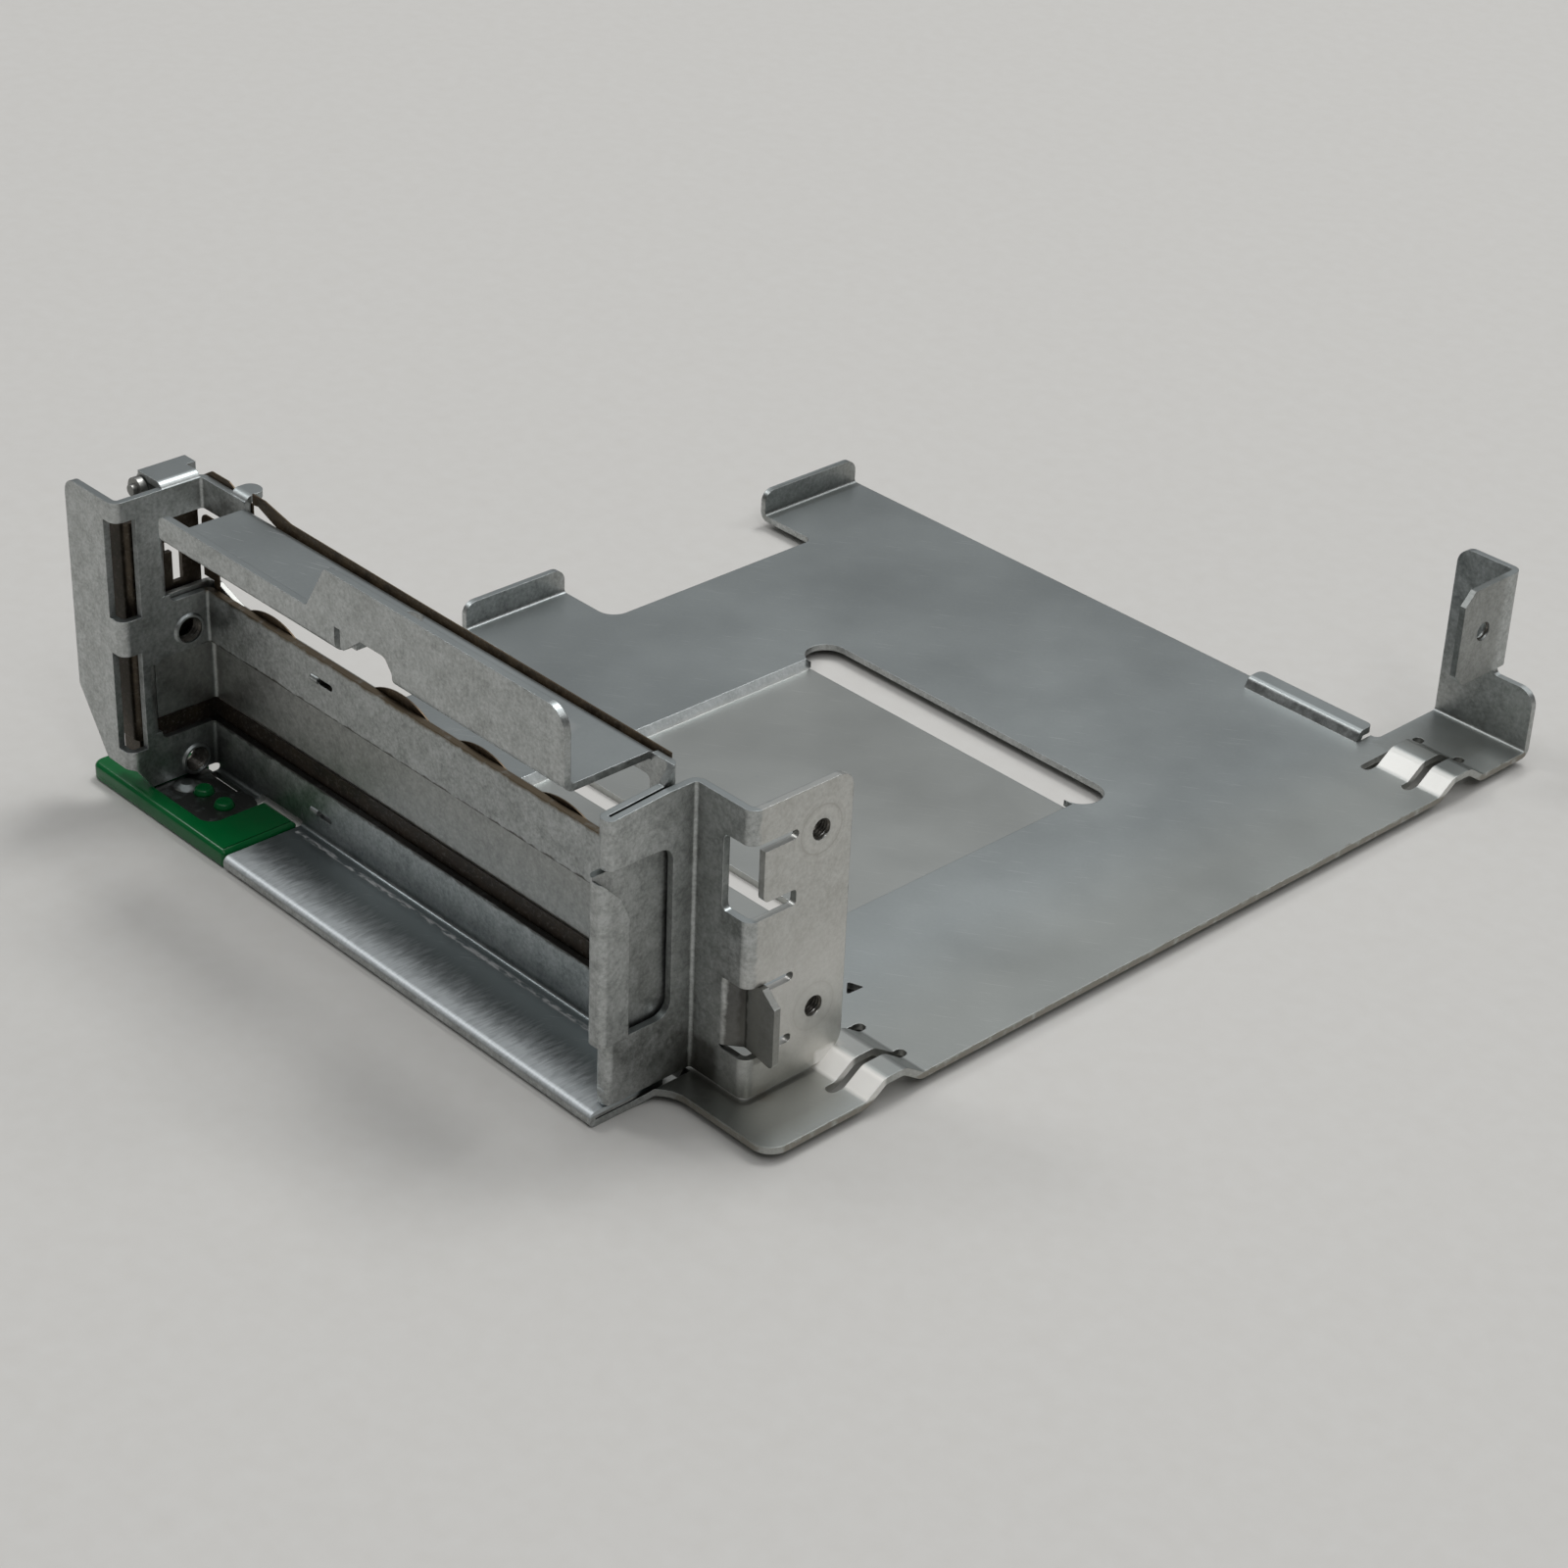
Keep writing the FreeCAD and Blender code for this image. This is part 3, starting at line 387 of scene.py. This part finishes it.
# Each set of scratches has a name, a turn in degrees, a centre, half size and fade in mm,
# and a strength.
SCRATCHED = "#EEF0F0"
SCRATCHES = (
    ("rail's left end", 20, (24.0, 9.0, 46.0), (10.0, 5.0, 0.3), 3.0, 0.7),
    ("rail's front bend", 75, (27.0, 3.0, 46.0), (12.0, 2.0, 0.3), 2.0, 0.5),
    ("wide plate, faint", 35, (60.0, 80.0, 1.6), (60.0, 70.0, 0.8), 3.0, 0.25))


def light_scratches(tree, place, tone):
    """Light scratches: a few across the left end of the rail, faint ones on the plate."""
    for name, turn, centre, half, fade, strength in SCRATCHES:
        line = streaks(tree, place, turn, 6.0, 0.22, 0.66, 0.72, strength)
        here = patch(tree, place, centre, half, fade)
        line = add(tree, "Math", {0: line, 1: here}, operation="MULTIPLY").outputs["Value"]
        tone = add(tree, "Mix", {
            "Factor": line, "A": tone, "B": colour(SCRATCHED)},
            data_type="RGBA", label=name).outputs["Result"]
    return tone


print(len(RINGS), "rings round each tapped hole,", len(SCRATCHES), "sets of scratches")

# %% [markdown]
# Now the cage sheet gets all of it. It is mild steel with bright zinc, cut and folded, so
# it is a metal with a soft gloss: cool on the plate, duller on the walls, brown at its cut
# edges. The marks are laid over the zinc one by one: first the ledge, the rings and the
# scratches, then the stains and the painted shade, and last the painted highlights on the arches.

# %% The galvanised sheet


def galvanised_sheet():
    """Bright galvanised mild steel, cut and folded: cool and smooth, brown at its cut edges."""
    material, tree, shader = new_material("galvanised_sheet")
    place = add(tree, "TexCoord").outputs["Object"]
    tone, rough, grain = zinc(tree, place, ("#B1B7B7", "#C2C5C4"), ("#A2A9AA", "#999C9A"), 0.28)
    tone, rough = ledge_frost_and_highlight(tree, place, tone, rough)
    tone = rubbed_rings(tree, place, tone)
    tone = light_scratches(tree, place, tone)
    torn = ragged(tree, place, 1.6, 0.25)
    for name, centre, half, fade, strength, shade in STAINS:
        mask = patch(tree, torn, centre, half, fade, strength)
        tone = add(tree, "Mix", {
            "Factor": mask, "A": tone, "B": colour(shade)},
            data_type="RGBA", label=name).outputs["Result"]
    # Painted highlight on the near slopes of the arches.
    arch_highlight_amount = arch_highlights(tree, place)
    tone = add(tree, "Mix", {
        "Factor": arch_highlight_amount, "A": tone, "B": colour("#FFFDF8")}, data_type="RGBA").outputs["Result"]
    metal = add(tree, "MapRange", {"Value": arch_highlight_amount, "To Min": 1.0, "To Max": 0.1}).outputs["Result"]
    normal = relief(tree, grain, RELIEF, 0.14)
    wire(tree, shader, Base_Color=tone, Roughness=rough, Metallic=metal, Normal=normal)
    return material


dress("cage_sheet", galvanised_sheet())

# %% [markdown]
# The other metal pieces are plain plated or browned sheet and wire. They share the zinc
# pattern with other colours. The blank is zinc plated, like the cage but a little duller.
# The latch and the contact plate look like spring steel with a thin dark brown coat, and
# the pin is plain bright wire.

# %% The smaller metal pieces


def plated(name, light, dark, freckles, edge, metal=1.0):
    """A small sheet or wire piece with one coat all over; an oxide coat is half metal."""
    material, tree, shader = new_material(name)
    place = add(tree, "TexCoord").outputs["Object"]
    tone, rough, grain = zinc(tree, place, (light, light), (dark, dark), freckles)
    normal = relief(tree, grain, RELIEF, edge)
    wire(tree, shader, Base_Color=tone, Roughness=rough, Normal=normal)
    shader.inputs["Metallic"].default_value = metal
    return material


dress("slot_blank", plated("zinc_plated_blank", "#B4B5B2", "#9A9B98", 0.2, 0.14))
dress("bracket_latch", plated("browned_spring_steel", "#554D43", "#3B352D", 0.05, 0.12))
dress("contact_plate", plated("browned_contact_strip", "#66553F", "#3B3125", 0.08, 0.05, 0.6))
dress("hinge_pin", plated("bright_wire_steel", "#A5A5A2", "#8C8C89", 0.15, 0.12))

# %% [markdown]
# The screw holes are tapped. A thread is one ridge that winds round the hole, so a small
# triangle is spun about the hole's axis while it moves along it. The holes in the side
# wall and the tapped plate have a collar, drawn out of the sheet at the back, and it is
# spun from a small rectangle. The pitch is drawn a little coarse, so that it shows.

# %% How a thread and a collar are made
HOLE_STEPS, ROOT = 28, 0.03


def closed_loop(bm, points):
    """Vertices at the points, joined by edges into a ring."""
    verts = [bm.verts.new(p) for p in points]
    return verts, [bm.edges.new((verts[i - 1], verts[i])) for i in range(len(verts))]


def wind_thread(bm, centre, radius, length, pitch=0.6, depth=0.28):
    """A helical ridge inside a hole along X; centre in metres, sizes in mm."""
    steps = round(HOLE_STEPS * (length - pitch) / pitch)
    half = 0.45 * pitch
    start = centre + Vector((pitch / 2, 0, 0)) * MM
    ridge = ((-half, ROOT), (half, ROOT), (0.0, -depth))
    verts, edges = closed_loop(bm, [start + Vector((dx, 0, radius + dr)) * MM for dx, dr in ridge])
    bm.faces.new(verts)
    last = bmesh.ops.spin(
        bm, geom=verts + edges, cent=start, axis=(1, 0, 0), dvec=((length - pitch) / steps * MM, 0, 0),
        angle=2 * math.pi * steps / HOLE_STEPS, steps=steps)["geom_last"]
    bm.faces.new([v for v in last if isinstance(v, bmesh.types.BMVert)])


def spin_collar(bm, centre, inner, outer, length):
    """A short tube along X behind a hole; centre in metres, sizes in mm."""
    wall = ((0, inner), (length, inner), (length, outer), (0, outer))
    verts, edges = closed_loop(bm, [centre + Vector((x, 0, r)) * MM for x, r in wall])
    bmesh.ops.spin(
        bm, geom=verts + edges, cent=centre, axis=(1, 0, 0),
        angle=2 * math.pi, steps=HOLE_STEPS, use_merge=True)


def new_piece(bm, name, body, material):
    """Turn a finished bmesh into an object that rides on a body."""
    bmesh.ops.remove_doubles(bm, verts=bm.verts, dist=0.001 * MM)
    bmesh.ops.recalc_face_normals(bm, faces=bm.faces)
    mesh = bpy.data.meshes.new(name)
    bm.to_mesh(mesh)
    bm.free()
    mesh.materials.append(material)
    piece = bpy.data.objects.new(name, mesh)
    bpy.context.scene.collection.objects.link(piece)
    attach(piece, body)
    print(name, "has", len(mesh.polygons), "faces")


print("a thread turn has", HOLE_STEPS, "steps")

# %% [markdown]
# The two screw holes lie one slot pitch apart, and the lower one has the longer collar.
# The tapped plate has two smaller holes with a finer thread. The far post has one more,
# in plain sheet without a collar.

# %% Threads in the five tapped holes
SHEET, COLLAR_WALL = 1.0, 0.4
SCREW_Y, SCREW_LOW, SLOT_PITCH, SCREW_R, SCREW_FRONT = 10.6, 4.85, 20.32, 1.9, 0.3
LOWER_BACK, UPPER_BACK = -3.4, -2.1
TAP_R, TAPPED_BACK, TAPPED_DEEP, FINE_PITCH, FINE_DEPTH = 1.45, 104.2, 2.24, 0.45, 0.22
POST_HOLE = (108.9, 154.1, 21.9)
bm = bmesh.new()
for z, back in ((SCREW_LOW, LOWER_BACK), (SCREW_LOW + SLOT_PITCH, UPPER_BACK)):
    wind_thread(bm, spot(back, SCREW_Y, z), SCREW_R, SCREW_FRONT - back)
    spin_collar(bm, spot(back, SCREW_Y, z), SCREW_R, SCREW_R + COLLAR_WALL, -SHEET - back)
for z in (TAPPED_LOW, TAPPED_HIGH):
    wind_thread(bm, spot(TAPPED_BACK, TAPPED_Y, z), TAP_R, TAPPED_DEEP, FINE_PITCH, FINE_DEPTH)
    spin_collar(bm, spot(TAPPED_BACK, TAPPED_Y, z), TAP_R, TAP_R + COLLAR_WALL, TAPPED_DEEP - SHEET)
wind_thread(bm, spot(*POST_HOLE), TAP_R, SHEET, FINE_PITCH, FINE_DEPTH)
new_piece(bm, "hole_threads", "cage",
          plated("cut_steel_threads", "#6A665F", "#3F3C37", 0.2, 0.03))

# %% [markdown]
# Two thin forms complete what shows through the openings. The contact plate goes on up
# past the lower bar and round the corner, as a strip that closes the gap under the blank;
# its colour is the contact plate's, darkened as painted shade. The latch reaches lower than
# its solid, down behind the foot of the left flange.
# Each starts as a line in plan, which is drawn upwards and then given its thickness.

# %% Contact strip in the lower slot and the latch's lower end


def bent_strip(plan, low, high, thickness):
    """A thin upright sheet that follows a line in plan; everything in mm."""
    bm = bmesh.new()
    path = [bm.verts.new(spot(x, y, low)) for x, y in plan]
    edges = [bm.edges.new(pair) for pair in zip(path, path[1:])]
    fresh = bmesh.ops.extrude_edge_only(bm, edges=edges)["geom"]
    drawn = [g for g in fresh if isinstance(g, bmesh.types.BMVert)]
    bmesh.ops.translate(bm, vec=(0, 0, (high - low) * MM), verts=drawn)
    bmesh.ops.recalc_face_normals(bm, faces=bm.faces)
    bmesh.ops.solidify(bm, geom=bm.faces[:], thickness=thickness * MM)
    return bm


STRIP_PLAN = ((-1.1, 5.4), (-1.1, 15.12), (91.3, 15.12))
STRIP_LOW, STRIP_HIGH, STRIP_T = 7.3, 12.6, 0.1
strip = bent_strip(STRIP_PLAN, STRIP_LOW, STRIP_HIGH, STRIP_T)
# Darker than the contact plate: painted shade.
new_piece(strip, "lower_contact_strip", "cage",
          plated("contact_strip_in_painted_shade", "#42372B", "#261F18", 0.1, 0.03, 0.7))
END_PLAN = ((-6.5, 3.4), (-2.75, 3.4), (-2.75, 7.6))
END_LOW, LATCH_LOW, LATCH_T = 5.6, 9.0, 0.7
lower_end = bent_strip(END_PLAN, END_LOW, LATCH_LOW, LATCH_T)
new_piece(lower_end, "latch_lower_end", "latch",
          bpy.data.materials["browned_spring_steel"])

# %% [markdown]
# The touch pad is injection-moulded plastic in a deep, saturated green with a wet-looking
# gloss. Its solid has flat facets along the bead, and the real bead is rounded. So a copy
# of the solid's mesh is merged, its flat faces are joined up again, and the edges are
# bevelled. The copy takes the place of the plain one and keeps its form.

# %% Green touch pad
PAD_EDGE, PAD_SEGMENTS, PAD_CLOUD = 0.22, 3, 6.0


def moulded_green():
    """Moulded ABS: a deep green that light hardly enters, under a glossy skin."""
    material, tree, shader = new_material("moulded_green_abs")
    place = add(tree, "TexCoord").outputs["Object"]
    cloud = add(tree, "TexNoise", {
        "Vector": place, "Scale": per_mm(PAD_CLOUD), "Detail": 3.0}).outputs["Fac"]
    tone = add(tree, "Mix", {
        "Factor": cloud, "A": colour("#005829"), "B": colour("#006531")},
        data_type="RGBA").outputs["Result"]
    rough = add(tree, "MapRange", {
        "Value": cloud, "From Min": 0.3, "From Max": 0.7, "To Min": 0.16, "To Max": 0.26}).outputs["Result"]
    wire(tree, shader, Base_Color=tone, Roughness=rough)
    shader.inputs["Specular IOR Level"].default_value = 0.4
    return material


def softened(node_name, name, radius, segments):
    """A merged copy of a node's mesh whose sharp edges are rounded, radius in mm."""
    source = nodes[node_name]
    bm = bmesh.new()
    bm.from_mesh(source.data)
    bmesh.ops.remove_doubles(bm, verts=bm.verts, dist=0.002 * MM)
    bmesh.ops.dissolve_limit(
        bm, angle_limit=math.radians(1), verts=bm.verts, edges=bm.edges)
    joined = [e for e in bm.edges if len(e.link_faces) == 2]
    sharp = [e for e in joined if e.calc_face_angle() > math.radians(35)]
    bmesh.ops.bevel(
        bm, geom=sharp, offset=radius * MM, segments=segments, profile=0.5, affect="EDGES", material=-1)
    for face in bm.faces:
        face.smooth = True
    mesh = bpy.data.meshes.new(name)
    bm.to_mesh(mesh)
    bm.free()
    piece = bpy.data.objects.new(name, mesh)
    bpy.context.scene.collection.objects.link(piece)
    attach(piece, "cage")
    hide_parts(node_name)
    print(name, "has", len(mesh.polygons), "faces")
    return piece


pad = softened("touch_pad", "touch_pad_moulding", PAD_EDGE, PAD_SEGMENTS)
pad.data.materials.append(moulded_green())

# %% [markdown]
# The photograph was taken from the front right, a little above the object. The camera
# stands where a fit of the slot pitch to the picture puts it, so nothing is guessed by
# eye: a turn about the upright axis, a tilt down, a small roll and a long lens.

# %% Camera
AZIMUTH, ELEVATION, ROLL = (math.radians(v) for v in (45.816, 30.747, 2.379))
CAMERA_AT, LENS, SENSOR = (300.1, -298.6, 249.4), 79.2, 36
camera_data = bpy.data.cameras.new("camera")
camera_data.sensor_width = SENSOR
camera_data.lens = LENS
camera = bpy.data.objects.new("camera", camera_data)
turn = Matrix.Rotation(AZIMUTH, 4, "Z") @ Matrix.Rotation(math.pi / 2 - ELEVATION, 4, "X")
camera.matrix_world = (
    Matrix.Translation(Vector(CAMERA_AT) * MM) @ turn @ Matrix.Rotation(ROLL, 4, "Z"))
bpy.context.scene.collection.objects.link(camera)
bpy.context.scene.camera = camera
print("camera at", [round(v, 3) for v in camera.matrix_world.translation])

# %% [markdown]
# The object lies on a pale, matt table. A wide floor with a very faint mottling stands
# for it and catches the soft shadows.

# %% Floor
FLOOR_HALF, FLOOR_DROP, PAPER_GRAIN = 12.0, 0.02, 3.0
floor_mesh = bpy.data.meshes.new("floor")
bm = bmesh.new()
bmesh.ops.create_grid(bm, x_segments=2, y_segments=2, size=FLOOR_HALF)
bm.to_mesh(floor_mesh)
bm.free()
floor = bpy.data.objects.new("floor", floor_mesh)
floor.location.z = -FLOOR_DROP * MM
bpy.context.scene.collection.objects.link(floor)
paper, tree, shader = new_material("pale_table")
place = add(tree, "TexCoord").outputs["Object"]
mottle = add(tree, "TexNoise", {
    "Vector": place, "Scale": per_mm(PAPER_GRAIN), "Detail": 5.0}).outputs["Fac"]
tone = add(tree, "Mix", {
    "Factor": mottle, "A": colour("#C4C2BE"), "B": colour("#CAC9C6")}, data_type="RGBA").outputs["Result"]
wire(tree, shader, Base_Color=tone)
shader.inputs["Roughness"].default_value = 0.75
shader.inputs["Specular IOR Level"].default_value = 0.2
floor_mesh.materials.append(paper)
print("floor is", 2 * FLOOR_HALF, "m wide,", FLOOR_DROP, "mm under the part")

# %% [markdown]
# Metal shows what stands round it, so the surroundings matter as much as the finish. The
# world is a plain room: dim walls, a little brighter at the back left, where the plate
# looks, and a paler ceiling that fills the shadows.

# %% World
BACK_LEFT = (-0.72, 0.69, 0.0)
world = bpy.data.worlds.new("studio")
bpy.context.scene.world = world
world.use_nodes = True
tree = world.node_tree
way = add(tree, "TexCoord").outputs["Generated"]
height = add(tree, "SeparateXYZ", {"Vector": way}).outputs["Z"]
side = add(tree, "VectorMath", {0: way, 1: BACK_LEFT}, operation="DOT_PRODUCT").outputs["Value"]
wall = add(tree, "MapRange", {
    "Value": side, "From Min": 0.2, "From Max": 0.9, "To Max": 0.1}).outputs["Result"]
ceiling = add(tree, "MapRange", {
    "Value": height, "From Min": 0.42, "From Max": 1.0, "To Min": 0.07, "To Max": 0.95},
    interpolation_type="SMOOTHSTEP").outputs["Result"]
level = add(tree, "Math", {0: wall, 1: ceiling}, operation="ADD").outputs["Value"]
backdrop = tree.nodes["Background"]
backdrop.inputs["Color"].default_value = colour("#FDFEFF")
tree.links.new(level, backdrop.inputs["Strength"])
print("world is", world.name)

# %% [markdown]
# A lamp high above and a little behind throws the soft shadows towards the viewer. Three
# smaller, strong lamps, at the left, the back and the right, give the arches and folds
# their white glints.

# %% Lamps
LAMP_DISTANCE = 2.4


def softbox(name, direction, size, radiance):
    """A square lamp that faces the object; its radiance is what a mirror would show."""
    light = bpy.data.lights.new(name, "AREA")
    light.size = size
    light.energy = radiance * math.pi * size * size
    lamp = bpy.data.objects.new(name, light)
    way = Vector(direction).normalized()
    facing = way.to_track_quat("Z", "Y").to_matrix().to_4x4()
    lamp.matrix_world = Matrix.Translation(way * LAMP_DISTANCE) @ facing
    bpy.context.scene.collection.objects.link(lamp)
    place = [round(v, 2) for v in lamp.matrix_world.translation]
    print(name, "at", place, "power", round(light.energy, 1))


softbox("lamp_above", (-0.09, 0.4, 0.91), 0.75, 10.6)
softbox("lamp_left", (-0.62, -0.25, 0.75), 0.6, 6.0)
softbox("lamp_back", (0.36, 0.62, 0.7), 0.45, 5.5)
softbox("lamp_right", (0.62, -0.25, 0.75), 0.45, 6.0)

# %% [markdown]
# The picture keeps plain colours: the standard view with nothing added.

# %% Finish
bpy.context.scene.view_settings.view_transform = "Standard"
